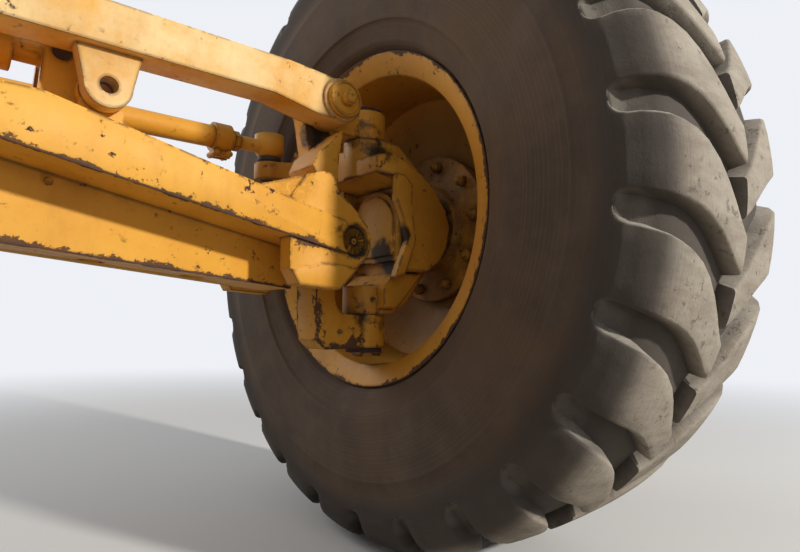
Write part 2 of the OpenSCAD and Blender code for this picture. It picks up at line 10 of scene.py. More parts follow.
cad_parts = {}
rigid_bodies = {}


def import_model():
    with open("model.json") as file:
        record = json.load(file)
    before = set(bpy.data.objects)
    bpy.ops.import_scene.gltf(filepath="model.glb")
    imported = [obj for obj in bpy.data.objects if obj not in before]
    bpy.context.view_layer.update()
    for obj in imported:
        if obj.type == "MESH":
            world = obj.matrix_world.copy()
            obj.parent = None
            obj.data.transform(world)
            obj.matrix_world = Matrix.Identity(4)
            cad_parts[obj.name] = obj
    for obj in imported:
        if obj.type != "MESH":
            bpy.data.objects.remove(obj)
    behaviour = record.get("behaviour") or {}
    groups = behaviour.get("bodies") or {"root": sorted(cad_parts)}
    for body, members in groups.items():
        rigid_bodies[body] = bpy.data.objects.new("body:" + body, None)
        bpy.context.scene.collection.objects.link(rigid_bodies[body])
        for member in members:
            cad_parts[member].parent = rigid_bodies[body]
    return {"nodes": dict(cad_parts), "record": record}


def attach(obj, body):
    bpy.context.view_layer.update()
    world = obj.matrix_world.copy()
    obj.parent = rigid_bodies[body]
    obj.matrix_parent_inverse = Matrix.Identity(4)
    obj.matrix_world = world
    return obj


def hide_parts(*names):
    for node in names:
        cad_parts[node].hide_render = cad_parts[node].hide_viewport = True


bl_info = {
    "name": "Grader front axle",
    "version": (1, 0, 0),
    "blender": (4, 5, 0),
    "location": "View3D > Sidebar > Grader",
    "description": "Paint, steel, rubber, welds, bolts and tread for the front axle of a motor grader",
    "category": "Object",
}

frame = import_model()
NODES = frame["nodes"]
BODY_OF = {n: b for b, ns in frame["record"]["behaviour"]["bodies"].items() for n in ns}
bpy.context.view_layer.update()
SIDES = (("left", 1), ("right", -1))
JOINT_AT = {j["name"]: j["pos_m"] for j in frame["record"]["behaviour"]["joints"]}
MID_X, _, WHEEL_Z = JOINT_AT["wheel_left_spin"]
BACKDROP = (0.93, 0.95, 1.0)
BACKDROP_STRENGTH = 0.92


def joint_place(name):
    """Where a joint of the left side is, in mm about the wheels' height."""
    x, y, z = JOINT_AT[name]
    return x * 1000, y * 1000, (z - WHEEL_Z) * 1000


LEAN_X, _, LEAN_Z = joint_place("lean_left")
BAR_Z = joint_place("lean_bar_pivot")[2]
KING_X = joint_place("steer_left")[0]
BALL_X, BALL_Y, BALL_Z = joint_place("tie_rod_swing")


# ---------------------------------------------------------------- sizes and colours

def colour(name, about, value):
    return bpy.props.FloatVectorProperty(name=name, description=about, subtype="COLOR", size=3,
                                         min=0, max=1, default=value)


def length(name, about, value):
    return bpy.props.FloatProperty(name=name, description=about, unit="LENGTH", default=value, min=0)


class GraderFinish(bpy.types.PropertyGroup):
    paint: colour("Paint", "Weathered yellow paint, as a linear colour", (0.74, 0.345, 0.034))
    paint_pale: colour("Pale paint", "Paint that the sun has bleached", (0.86, 0.450, 0.055))
    paint_deep: colour("Deep paint", "Paint in stained places", (0.46, 0.175, 0.016))
    rust: colour("Rust", "Rust that shows where paint is gone", (0.078, 0.032, 0.024))
    primer: colour("Old steel", "Dark steel and primer in the chips", (0.034, 0.021, 0.026))
    # Also the colour of painted shade in hollows and over the hubs
    grease_and_shade: colour("Grease", "Grease and dirt round the joints", (0.016, 0.011, 0.008))
    dust: colour("Dust", "Dry dust that lies on top", (0.36, 0.27, 0.17))
    rubber: colour("Rubber", "Old rubber of the tyres", (0.112, 0.082, 0.062))
    tread: colour("Tread", "Worn and dusty faces of the lugs", (0.43, 0.395, 0.335))


class GraderTyre(bpy.types.PropertyGroup):
    radius: length("Radius", "Radius over the lugs", 0.688)
    width: length("Width", "Width across the sidewalls", 0.456)
    lug_depth: length("Lug depth", "Depth of the lugs", 0.026)
    lug_count: bpy.props.IntProperty(name="Lugs", description="Lugs along each shoulder", default=26, min=8)
    bead: length("Bead radius", "Radius of the rim where the bead sits", 0.317)
    lip: length("Lip height", "Height of the rim's lip over the bead", 0.038)
    rim_width: length("Rim width", "Width of the rim over its lips", 0.380)


class GraderWeld(bpy.types.PropertyGroup):
    radius: length("Weld radius", "Radius of a weld bead", 0.0045)
    pitch: length("Ripple pitch", "Distance between the ripples of a weld bead", 0.0040)


class GraderStage(bpy.types.PropertyGroup):
    floor: colour("Floor", "Colour of the floor", (0.80, 0.80, 0.79))
    bounce: colour("Bounce", "Colour of the light that the floor throws back", (0.33, 0.295, 0.25))
    lens: bpy.props.FloatProperty(name="Lens", description="Focal length in mm on a 36 mm sensor",
                                  default=26.0)
    key: bpy.props.FloatProperty(name="Key light", description="Power of the key light in watts",
                                 default=265.0)
    sky: bpy.props.FloatProperty(name="Sky", description="Strength of the light from all round",
                                 default=0.30)


# ---------------------------------------------------------------- materials

class Maker:
    """Builds one material's nodes: n adds a node, put sets or links its inputs."""

    def __init__(self, name):
        self.material = bpy.data.materials.new(name)
        self.material.use_nodes = True
        self.tree = self.material.node_tree
        self.shader = self.tree.nodes["Principled BSDF"]
        self.place = self.n("ShaderNodeTexCoord").outputs["Object"]

    def n(self, kind, **put):
        node = self.tree.nodes.new(kind)
        for key, value in put.items():
            setattr(node, key, value)
        return node

    def link(self, value, socket):
        if isinstance(value, bpy.types.NodeSocket):
            self.tree.links.new(value, socket)
        else:
            socket.default_value = value

    def math(self, how, a, b=0.0, c=0.0, clamp=False):
        node = self.n("ShaderNodeMath", operation=how, use_clamp=clamp)
        for value, socket in zip((a, b, c), node.inputs):
            self.link(value, socket)
        return node.outputs[0]

    def times(self, first, *others):
        """The product of values."""
        for other in others:
            first = self.math("MULTIPLY", first, other)
        return first

    def less(self, value, clamp=False):
        """What is left of 1."""
        return self.math("SUBTRACT", 1.0, value, clamp=clamp)

    def step(self, value, low, high):
        """0 below low, 1 above high, smooth between."""
        node = self.n("ShaderNodeMapRange", interpolation_type="SMOOTHSTEP")
        self.link(value, node.inputs["Value"])
        node.inputs["From Min"].default_value = low
        node.inputs["From Max"].default_value = high
        return node.outputs[0]

    def noise(self, scale, detail=4.0, rough=0.55, stretch=None, shift=0.0):
        vector = self.place
        if stretch or shift:
            node = self.n("ShaderNodeMapping")
            self.link(self.place, node.inputs["Vector"])
            node.inputs["Scale"].default_value = stretch or (1, 1, 1)
            node.inputs["Location"].default_value = (shift, shift * 0.7, shift * 1.3)
            vector = node.outputs[0]
        node = self.n("ShaderNodeTexNoise")
        self.link(vector, node.inputs["Vector"])
        node.inputs["Scale"].default_value = scale
        node.inputs["Detail"].default_value = detail
        node.inputs["Roughness"].default_value = rough
        return node.outputs["Fac"]

    def mix(self, amount, a, b):
        node = self.n("ShaderNodeMix", data_type="RGBA")
        self.link(amount, node.inputs["Factor"])
        self.link(a if isinstance(a, bpy.types.NodeSocket) else (*a, 1), node.inputs[6])
        self.link(b if isinstance(b, bpy.types.NodeSocket) else (*b, 1), node.inputs[7])
        return node.outputs[2]

    def edges(self, radius):
        """How far the rounded normal leaves the true one, which is most along edges, and its upward part."""
        round_off = self.n("ShaderNodeBevel", samples=4)
        round_off.inputs["Radius"].default_value = radius
        true = self.n("ShaderNodeNewGeometry").outputs["Normal"]
        dot = self.n("ShaderNodeVectorMath", operation="DOT_PRODUCT")
        self.link(round_off.outputs[0], dot.inputs[0])
        self.link(true, dot.inputs[1])
        split = self.n("ShaderNodeSeparateXYZ")
        self.link(round_off.outputs[0], split.inputs[0])
        return self.less(dot.outputs["Value"], clamp=True), split.outputs["Z"]

    def near(self, spots):
        """1 at the spots, each (x, y, z, radius) in metres, falling to 0 at its radius."""
        total = None
        for x, y, z, r in spots:
            node = self.n("ShaderNodeVectorMath", operation="DISTANCE")
            self.link(self.place, node.inputs[0])
            node.inputs[1].default_value = (x, y, z)
            one = self.less(self.math("DIVIDE", node.outputs["Value"], r), clamp=True)
            total = one if total is None else self.math("MAXIMUM", total, one)
        return total

    def axes(self):
        """The place's parts x, y and its height over the wheels' axis."""
        split = self.n("ShaderNodeSeparateXYZ")
        self.link(self.place, split.inputs[0])
        x, y, z = split.outputs
        return x, y, self.math("SUBTRACT", z, WHEEL_Z)

    def distance(self, a, b):
        """How long the step of a one way and b across it is."""
        return self.math("SQRT", self.math("ADD", self.times(a, a), self.times(b, b)))

    def ragged(self, edges, breadth):
        """Ragged wear along edges, in metres about the wheels' height, on all sides: ("along", y, z, fall)
        runs along X, ("up", x, y) stands upright and ("round", x, r) goes round the wheel's axis."""
        x, y, up = self.axes()
        side, across = self.math("ABSOLUTE", x), self.math("ABSOLUTE", y)
        least = None
        for run, *at in edges:
            if run == "along":
                a = self.math("SUBTRACT", across, at[0])
                b = self.math("ADD", up, self.math("SUBTRACT", self.times(side, at[2]), at[1]))
            else:
                a = self.math("SUBTRACT", side, at[0])
                b = self.math("SUBTRACT", across if run == "up" else self.distance(y, up), at[1])
            gap = self.distance(a, b)
            least = gap if least is None else self.math("MINIMUM", least, gap)
        rough = self.math("SUBTRACT", self.noise(16.0, 9.0, 0.78, shift=4.4), 0.47)
        wide = self.math("ADD", 0.0022, self.times(self.math("MAXIMUM", rough, 0.0), 0.075 * breadth))
        return self.step(self.math("SUBTRACT", wide, least), -0.0004, 0.0006)

    def cavity(self, reach):
        node = self.n("ShaderNodeAmbientOcclusion", samples=6)
        node.inputs["Distance"].default_value = reach
        return self.less(node.outputs["AO"], clamp=True)

    def upward(self):
        split = self.n("ShaderNodeSeparateXYZ")
        self.link(self.n("ShaderNodeTexCoord").outputs["Normal"], split.inputs[0])
        return split.outputs["Z"]

    def bump(self, height, strength, distance):
        node = self.n("ShaderNodeBump")
        node.inputs["Strength"].default_value = strength
        node.inputs["Distance"].default_value = distance
        self.link(height, node.inputs["Height"])
        self.link(node.outputs[0], self.shader.inputs["Normal"])

    def finish(self, base, rough, metallic=0.0, specular=0.5):
        self.link(base, self.shader.inputs["Base Color"])
        self.link(rough, self.shader.inputs["Roughness"])
        self.link(metallic, self.shader.inputs["Metallic"])
        self.shader.inputs["Specular IOR Level"].default_value = specular
        return self.material


def painted_steel(name, spots=(), wear=1.0, shade=0.0, dusty=0.5, pits=(), bleach_and_glare=(), painted_shade=(),
                  edges=(), breadth=1.0):
    """Weathered yellow paint, chipped to rust. Each group of places is (x, y, z, radius) in metres: greasy
    spots, rough pits, pale patches where the sun fades the paint, with a painted highlight of its glare, and
    painted shade deep inside a hollow. edges are worn bare as Maker.ragged says, breadth times as wide as on
    the beam. shade is how much painted shade, with dirt, darkens the whole piece: a dark brown film, more
    stains and more grime in hollows."""
    f = bpy.context.scene.grader_finish
    m = Maker(name)
    cloud = m.noise(3.2, 6.0, 0.6)
    base = m.mix(m.step(cloud, 0.38, 0.70), f.paint, f.paint_pale)
    # Pale patches: paint that the sun has faded, and a painted highlight of the sun's glare on the bar
    if bleach_and_glare:
        pale = m.times(m.step(m.near(bleach_and_glare), 0.10, 0.75), m.step(m.noise(9.0, 6.0, 0.6), 0.25, 0.6), 0.9)
        base = m.mix(pale, base, (0.88, 0.66, 0.32))
    stain = m.noise(9.0, 8.0, 0.62, stretch=(1, 1, 0.35), shift=3.0)
    base = m.mix(m.times(m.step(stain, 0.48, 0.78), min(1.0, 0.45 + shade)), base, f.paint_deep)
    # A dark brown film, as strong as shade: dirt, and painted shade for pieces that sit in shadow
    if shade:
        film = m.step(m.noise(6.0, 8.0, 0.7, shift=11.0), 0.20, 0.62)
        base = m.mix(m.times(film, min(0.92, shade * 1.3)), base, (0.150, 0.066, 0.016))
    # Painted shade: brown darkening round the given places, such as deep inside the rim's well
    if painted_shade:
        base = m.mix(m.times(m.step(m.near(painted_shade), 0.08, 0.46), 0.74), base, (0.130, 0.056, 0.010))
    grain = m.noise(140.0, 3.0, 0.7)
    base = m.mix(m.times(m.step(grain, 0.55, 0.80), 0.22), base, f.paint_deep)
    # Dust on faces that look up, and grime with painted shade where the AO node finds the surface enclosed
    dust = m.times(m.step(m.upward(), 0.35, 0.95), m.step(m.noise(14.0, 6.0, 0.7), 0.30, 0.75), dusty)
    base = m.mix(dust, base, f.dust)
    grime_and_shade = m.times(m.step(m.cavity(0.05), 0.14, 0.70), m.step(m.noise(22.0, 5.0, 0.6), 0.28, 0.62),
                    min(0.9, 0.55 + shade))
    base = m.mix(grime_and_shade, base, f.grease_and_shade)
    # Chips: small ones anywhere, larger ones along edges, most on low ones
    speck = m.noise(58.0, 6.0, 0.72, shift=1.7)
    patch = m.noise(11.0, 7.0, 0.66, shift=5.1)
    leave, tilt = m.edges(0.009)
    low = m.less(m.step(tilt, -0.40, -0.08))
    many = m.math("ADD", m.noise(26.0, 8.0, 0.72, shift=2.3), m.times(low, 0.13))
    along = m.times(m.step(leave, 0.010, 0.12), m.step(many, 0.485, 0.515))
    small = m.times(m.step(speck, 0.615, 0.64), m.step(patch, 0.48, 0.60))
    large = m.step(m.noise(17.0, 9.0, 0.70, shift=8.0), 0.690, 0.702)
    chips = m.math("MAXIMUM", m.math("MAXIMUM", along, small), large)
    chips = m.math("MULTIPLY", chips, wear, clamp=True)
    if edges:
        chips = m.math("MAXIMUM", chips, m.times(m.ragged(edges, breadth), 0.9))
    bare = m.mix(m.step(m.noise(45.0, 5.0, 0.6), 0.42, 0.60), f.primer, f.rust)
    base = m.mix(chips, base, bare)
    halo = m.times(m.step(speck, 0.57, 0.64), m.step(patch, 0.44, 0.60), 0.35 * wear)
    base = m.mix(halo, base, f.rust)
    rough = m.math("ADD", 0.42, m.times(m.noise(30.0, 4.0, 0.6), 0.22))
    rough = m.math("ADD", rough, m.times(chips, 0.28), clamp=True)
    if spots:
        ragged = m.times(m.math("SUBTRACT", m.noise(24.0, 8.0, 0.68, shift=6.0), 0.5), 1.3)
        wet = m.step(m.math("ADD", m.near(spots), ragged), 0.32, 0.60)
        base = m.mix(m.times(wet, 0.94), base, f.grease_and_shade)
        rough = m.math("SUBTRACT", rough, m.times(wet, 0.04), clamp=True)
    height = m.math("SUBTRACT", m.times(grain, 0.18), m.times(chips, 0.75))
    height = m.math("ADD", height, m.times(m.noise(7.0, 5.0, 0.5), 0.8))
    if pits:
        pitted = m.times(m.step(m.near(pits), 0.15, 0.5), m.step(m.noise(85.0, 6.0, 0.75), 0.40, 0.62))
        height = m.math("SUBTRACT", height, m.times(pitted, 0.6))
        base = m.mix(m.times(pitted, 0.15), base, f.paint_deep)
    m.bump(height, 0.55, 0.0022)
    return m.finish(base, rough, specular=0.32)


def bare_steel(name, tone, rust_share=0.4, spots=(), polish=0.35):
    """Steel that shows metal where it is rubbed and rust elsewhere, greasy near the spots."""
    f = bpy.context.scene.grader_finish
    m = Maker(name)
    base = m.mix(m.step(m.noise(40.0, 6.0, 0.65), 0.35, 0.7), tone, [c * 0.55 for c in tone])
    rusty = m.step(m.noise(24.0, 8.0, 0.7, shift=4.0), 0.68 - rust_share * 0.4, 0.78 - rust_share * 0.4)
    base = m.mix(rusty, base, m.mix(m.noise(70.0, 4.0, 0.6), f.rust, f.primer))
    rough = m.math("ADD", polish, m.times(rusty, 0.45), clamp=True)
    metal = m.math("SUBTRACT", 0.9, m.times(rusty, 0.9), clamp=True)
    if spots:
        wet = m.step(m.math("ADD", m.near(spots), m.times(m.noise(30.0, 6.0, 0.6), 0.5)), 0.45, 0.75)
        base = m.mix(wet, base, f.grease_and_shade)
        metal = m.times(metal, m.less(wet))
    m.bump(m.noise(90.0, 6.0, 0.7), 0.35, 0.0012)
    return m.finish(base, rough, metal)


def chromed(name):
    f = bpy.context.scene.grader_finish
    m = Maker(name)
    film = m.step(m.noise(9.0, 6.0, 0.6), 0.5, 0.8)
    base = m.mix(m.times(film, 0.5), (0.66, 0.65, 0.62), f.dust)
    rough = m.math("ADD", 0.12, m.times(film, 0.3))
    m.bump(m.noise(60.0, 3.0, 0.5, stretch=(0.05, 1, 1)), 0.05, 0.0004)
    return m.finish(base, rough, m.less(m.times(film, 0.4)))


def tyre_rubber(name):
    """Old rubber: earth-brown sidewalls with fine rings, painted shade on the shoulders and in the grooves,
    a painted highlight along the pockets' lips, and lugs that are worn pale.
    """
    f = bpy.context.scene.grader_finish
    top = bpy.context.scene.grader_tyre.radius
    m = Maker(name)
    _, y, up = m.axes()
    r = m.distance(y, up)

    def band(low, high):
        """0 to 1 between two depths under the lugs' faces."""
        return m.step(r, top - low, top - high)

    cloud = m.noise(5.0, 7.0, 0.62)
    base = m.mix(m.step(cloud, 0.32, 0.72), [c * 0.75 for c in f.rubber], [c * 1.45 for c in f.rubber])
    base = m.mix(m.times(m.step(m.noise(7.0, 8.0, 0.66, shift=3.0), 0.40, 0.70), 0.7), base,
                 (0.150, 0.096, 0.056))
    # A few fine rings that the mould and the road leave round the sidewall
    ring = m.n("ShaderNodeTexNoise", noise_dimensions="1D")
    m.link(m.times(r, 70.0), ring.inputs["W"])
    ring.inputs["Detail"].default_value = 3.0
    base = m.mix(m.times(m.step(ring.outputs["Fac"], 0.56, 0.68), 0.22), base, (0.20, 0.16, 0.125))
    # Pale wear: on the faces, dust in the pockets' ends, and on what looks up
    closed, pocket = m.cavity(0.060), band(0.104, 0.090)
    worn = m.math("ADD", m.times(band(0.105, 0.060), 0.06), m.times(band(0.034, 0.004), 0.76))
    ends = m.times(m.step(closed, 0.10, 0.25), pocket, m.less(band(0.070, 0.045)), 0.55)
    dusty = m.times(m.step(m.upward(), 0.20, 0.75), pocket, 0.8)
    worn = m.math("MAXIMUM", m.math("MAXIMUM", worn, ends), dusty)
    # Painted shade in the grooves' floors that face down, and painted shade on the shoulders until the
    # road's wear begins
    groove_shade = m.times(m.step(closed, 0.16, 0.46), band(0.100, 0.080),
                   m.less(m.times(m.step(m.upward(), 0.1, 0.5), 0.8)))
    shoulder_shade = m.times(band(0.150, 0.085), m.less(band(0.030, 0.006)), m.math("ADD", 0.45, m.times(cloud, 0.7)))
    # Painted shade on the shoulders
    base = m.mix(shoulder_shade, base, (0.046, 0.041, 0.038))
    scuff = m.step(m.noise(24.0, 8.0, 0.74, stretch=(0.3, 1, 1), shift=2.0), 0.30, 0.66)
    base = m.mix(m.times(worn, m.math("ADD", 0.50, m.times(scuff, 0.50))), base, f.tread)
    # Painted shade in the grooves' floors
    base = m.mix(m.times(groove_shade, 0.62), base, (0.060, 0.053, 0.048))
    # A painted highlight on the upward edges round the pockets' ends, where light catches the lip
    leave, tilt = m.edges(0.006)
    lip = m.times(m.step(leave, 0.02, 0.16), m.less(groove_shade), band(0.108, 0.090), m.step(tilt, -0.3, 0.35), 0.6)
    base = m.mix(lip, base, (0.50, 0.46, 0.39))
    gouge = m.times(m.step(m.noise(38.0, 6.0, 0.75, shift=7.0), 0.58, 0.66), worn)
    base = m.mix(m.times(gouge, 0.6), base, (0.050, 0.042, 0.036))
    lines = m.noise(170.0, 4.0, 0.75, stretch=(1.0, 0.10, 0.10), shift=5.0)
    height = m.math("ADD", m.times(m.noise(45.0, 8.0, 0.72), 0.7),
                    m.times(lines, m.math("ADD", 0.2, m.times(worn, 1.1))))
    height = m.math("SUBTRACT", height, m.times(gouge, 0.9))
    # Fine cracks, few and short
    crack = m.n("ShaderNodeTexVoronoi", feature="DISTANCE_TO_EDGE")
    m.link(m.place, crack.inputs["Vector"])
    crack.inputs["Scale"].default_value = 34.0
    fine = m.times(m.less(m.step(crack.outputs["Distance"], 0.0, 0.022)),
                   m.step(m.noise(9.0, 5.0, 0.6, shift=9.0), 0.60, 0.70))
    height = m.math("SUBTRACT", height, m.times(fine, 0.5))
    m.bump(height, 0.6, 0.0028)
    return m.finish(base, m.math("ADD", 0.72, m.times(cloud, 0.25)), specular=0.28)


def boot_rubber(name):
    m = Maker(name)
    base = m.mix(m.noise(30.0, 6.0, 0.6), (0.020, 0.018, 0.017), (0.070, 0.055, 0.042))
    m.bump(m.noise(120.0, 4.0, 0.6), 0.3, 0.0008)
    return m.finish(base, m.math("ADD", 0.55, m.times(m.noise(12.0, 3.0, 0.5), 0.2)), specular=0.35)


# ---------------------------------------------------------------- meshes

def mm(x, y, z):
    """A place given in mm about the wheels' height, as metres in the frame."""
    return Vector((x, y, z)) / 1000 + Vector((0, 0, WHEEL_Z))


def new_object(name, bm):
    mesh = bpy.data.meshes.new(name)
    bm.to_mesh(mesh)
    bm.free()
    obj = bpy.data.objects.new(name, mesh)
    bpy.context.scene.collection.objects.link(obj)
    return obj


def settle(obj, body, material, stands_for=(), angle=34):
    """Shades a finished mesh, smooth up to an angle in degrees, and puts it on its body."""
    obj.data.materials.clear()
    obj.data.materials.append(material)
    obj.data.polygons.foreach_set("use_smooth", [True] * len(obj.data.polygons))
    obj.data.set_sharp_from_angle(angle=math.radians(angle))
    obj.data.update()
    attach(obj, body)
    if stands_for:
        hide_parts(*stands_for)


def loft(bm, rings, closed=False):
    """Joins each ring of points to the next, and if closed the last to the first."""
    for here, after in zip(rings, rings[1:] + (rings[:1] if closed else [])):
        n = len(here)
        for k in range(n):
            bm.faces.new((here[k], here[(k + 1) % n], after[(k + 1) % n], after[k]))


def turned(points, steps, s):
    """A closed section turned about the wheel's axis, of points (outboard, radius) in metres."""
    bm = bmesh.new()
    rings = []
    for i in range(steps):
        a = 2 * math.pi * i / steps
        rings.append([bm.verts.new((s * (MID_X + x), r * math.sin(a), WHEEL_Z + r * math.cos(a)))
                      for x, r in points])
    loft(bm, rings, closed=True)
    bmesh.ops.remove_doubles(bm, verts=bm.verts, dist=1e-6)
    bmesh.ops.recalc_face_normals(bm, faces=bm.faces)
    return bm


def along_y(bm, x, z, r, ends, steps, chamfer, hole):
    """A ring along Y between two ends, in mm about the wheels' height."""
    y0, y1 = sorted(ends)
    section = [(y0, r - chamfer), (y0 + chamfer, r), (y1 - chamfer, r), (y1, r - chamfer),
               (y1, hole), (y0, hole)]
    rings = []
    for i in range(steps):
        a = 2 * math.pi * i / steps
        rings.append([bm.verts.new(mm(x + q * math.cos(a), y, z + q * math.sin(a))) for y, q in section])
    loft(bm, rings, closed=True)
    bmesh.ops.remove_doubles(bm, verts=bm.verts, dist=1e-6)


def dress(node, material, bevel):
    """Stands for a CAD node: a merged copy with its finish, its sharp edges rounded by bevel metres."""
    bm = bmesh.new()
    bm.from_mesh(NODES[node].data)
    bmesh.ops.remove_doubles(bm, verts=bm.verts, dist=2e-5)
    bmesh.ops.dissolve_limit(bm, angle_limit=math.radians(0.6), verts=bm.verts, edges=bm.edges)
    sharp = [e for e in bm.edges if len(e.link_faces) == 2 and e.calc_face_angle(0) > math.radians(28)
             and e.calc_length() > bevel]
    bmesh.ops.bevel(bm, geom=sharp, offset=bevel, segments=2, profile=0.5, affect="EDGES",
                    clamp_overlap=True, loop_slide=True)
    bmesh.ops.triangulate(bm, faces=[f for f in bm.faces if len(f.verts) > 4])
    settle(new_object(node + "_finish", bm), BODY_OF[node], material, [node], angle=30)


# ---------------------------------------------------------------- geometry nodes

class Tree:
    """A geometry node tree with named inputs, run once on a mesh and then removed."""

    def __init__(self, name, sizes):
        self.tree = bpy.data.node_groups.new(name, "GeometryNodeTree")
        face = self.tree.interface
        face.new_socket("Geometry", in_out="INPUT", socket_type="NodeSocketGeometry")
        self.ids = {}
        for key, kind, value in sizes:
            socket = face.new_socket(key, in_out="INPUT", socket_type=kind)
            socket.default_value = value
            self.ids[key] = socket.identifier
        face.new_socket("Geometry", in_out="OUTPUT", socket_type="NodeSocketGeometry")
        self.entry = self.tree.nodes.new("NodeGroupInput")
        self.exit = self.tree.nodes.new("NodeGroupOutput")

    def n(self, kind, links=(), **put):
        node = self.tree.nodes.new(kind)
        for key, value in put.items():
            setattr(node, key, value)
        for socket, value in links:
            if isinstance(value, bpy.types.NodeSocket):
                self.tree.links.new(value, node.inputs[socket])
            else:
                node.inputs[socket].default_value = value
        return node

    def close(self, shape, material):
        real = self.n("GeometryNodeRealizeInstances", [("Geometry", shape)])
        paint = self.n("GeometryNodeSetMaterial", [("Geometry", real.outputs[0]), ("Material", material)])
        self.tree.links.new(paint.outputs[0], self.exit.inputs[0])

    def run(self, obj, name, **sizes):
        """The plain mesh that the tree makes of obj, which is removed."""
        modifier = obj.modifiers.new("shape", "NODES")
        modifier.node_group = self.tree
        for key, value in sizes.items():
            modifier[self.ids[key]] = value
        graph = bpy.context.evaluated_depsgraph_get()
        mesh = bpy.data.meshes.new_from_object(obj.evaluated_get(graph))
        obj.modifiers.remove(modifier)
        bpy.data.objects.remove(obj)
        made = bpy.data.objects.new(name, mesh)
        bpy.context.scene.collection.objects.link(made)
        return made


def ring_tree(name, material, count):
    """Repeats a mesh round an axis along X through the middle of a wheel."""
    t = Tree(name, [("Count", "NodeSocketInt", count), ("Turn", "NodeSocketFloat", 0.0),
                    ("Centre", "NodeSocketVector", (0.0, 0.0, 0.0))])
    line = t.n("GeometryNodeMeshLine", [("Count", t.entry.outputs["Count"]), ("Offset", (0, 0, 0)),
                                        ("Start Location", t.entry.outputs["Centre"])])
    index = t.n("GeometryNodeInputIndex")
    share = t.n("ShaderNodeMath", operation="DIVIDE")
    t.tree.links.new(index.outputs[0], share.inputs[0])
    t.tree.links.new(t.entry.outputs["Count"], share.inputs[1])
    turn = t.n("ShaderNodeMath", operation="MULTIPLY_ADD")
    t.tree.links.new(share.outputs[0], turn.inputs[0])
    turn.inputs[1].default_value = 2 * math.pi
    t.tree.links.new(t.entry.outputs["Turn"], turn.inputs[2])
    spin = t.n("ShaderNodeCombineXYZ", [("X", turn.outputs[0])])
    put = t.n("GeometryNodeInstanceOnPoints", [("Points", line.outputs["Mesh"]),
                                               ("Instance", t.entry.outputs["Geometry"]),
                                               ("Rotation", spin.outputs[0])])
    t.close(put.outputs[0], material)
    return t


def weld_tree(material):
    """Ripples of weld metal along a mesh of open lines."""
    w = bpy.context.scene.grader_weld
    t = Tree("weld_bead", [("Radius", "NodeSocketFloat", w.radius), ("Pitch", "NodeSocketFloat", w.pitch),
                           ("Seed", "NodeSocketInt", 3)])
    curve = t.n("GeometryNodeMeshToCurve", [("Mesh", t.entry.outputs["Geometry"])])
    points = t.n("GeometryNodeResampleCurve",
                 [("Curve", curve.outputs[0]), ("Length", t.entry.outputs["Pitch"])], mode="LENGTH")
    bead = t.n("GeometryNodeMeshIcoSphere", [("Radius", t.entry.outputs["Radius"]), ("Subdivisions", 2)])
    tangent = t.n("GeometryNodeInputTangent")
    align = t.n("FunctionNodeAlignRotationToVector", [("Vector", tangent.outputs[0])], axis="X")
    size = t.n("FunctionNodeRandomValue", [(0, (0.62, 0.85, 0.85)), (1, (0.86, 1.12, 1.12)),
                                           ("Seed", t.entry.outputs["Seed"])], data_type="FLOAT_VECTOR")
    put = t.n("GeometryNodeInstanceOnPoints", [("Points", points.outputs[0]), ("Instance", bead.outputs[0]),
                                               ("Rotation", align.outputs[0]), ("Scale", size.outputs[0])])
    t.close(put.outputs[0], material)
    return t


def line_mesh(name, lines):
    """A mesh of open lines; each is a list of places in mm about the wheels' height."""
    bm = bmesh.new()
    for line in lines:
        made = [bm.verts.new(mm(*p)) for p in line]
        for a, b in zip(made, made[1:]):
            bm.edges.new((a, b))
    return new_object(name, bm)


def arc(x, z, r, y, start, end, steps):
    """Places on an arc about Y, between two angles in degrees."""
    angles = [math.radians(start + (end - start) * i / steps) for i in range(steps + 1)]
    return [(x + r * math.cos(a), y, z + r * math.sin(a)) for a in angles]


def hex_bolt(bm, at, along, across, height, washer=True):
    """A hexagon bolt head, on a washer or bare, at a place in mm and looking along a direction."""
    turn = Vector((0, 0, 1)).rotation_difference(Vector(along)).to_matrix()
    base = mm(*at)
    r = across / math.sqrt(3)

    def ring(radius, h, steps):
        angles = [2 * math.pi * (i + 0.25) / steps for i in range(steps)]
        return [bm.verts.new(base + turn @ (Vector((radius * math.cos(a), radius * math.sin(a), h)) / 1000))
                for a in angles]

    def solid(rings):
        loft(bm, rings)
        bm.faces.new(rings[-1])
        bm.faces.new(list(reversed(rings[0])))

    if washer:
        solid([ring(r * 1.35, -1.0, 18), ring(r * 1.35, 3.0, 18)])
    solid([ring(r, 1.0, 6), ring(r, height - 1.6, 6), ring(r * 0.86, height, 6)])


# ---------------------------------------------------------------- pieces

def spots_of(s, *places):
    """Places in mm about the wheels' height with a radius, mirrored for the right, as metres."""
    return [(s * x / 1000, y / 1000, z / 1000 + WHEEL_Z, r / 1000) for x, y, z, r in places]


class GraderBeam(bpy.types.Operator):
    """Paints the axle beam and rounds the edges of its plates"""

    bl_idname = "grader.beam"
    bl_label = "Axle beam"

    def execute(self, context):
        spots, pits = [], []
        for s in (-1, 1):
            for y in (-145, 145):
                spots += spots_of(s, (LEAN_X, y, LEAN_Z, 62))
                pits += spots_of(s, (590, y, 30, 70))
        spots += [(0, -0.16, 0, 0.12), (0, 0.16, 0, 0.12)]
        rail, keel = ("along", 0.150, 0.043, 0.2), ("along", 0.056, -0.089, 0.107)
        paint = painted_steel("beam_paint", spots, dusty=0.25, pits=pits, edges=[rail, keel])
        dress("axle_beam", paint, bevel=0.0025)
        return {"FINISHED"}


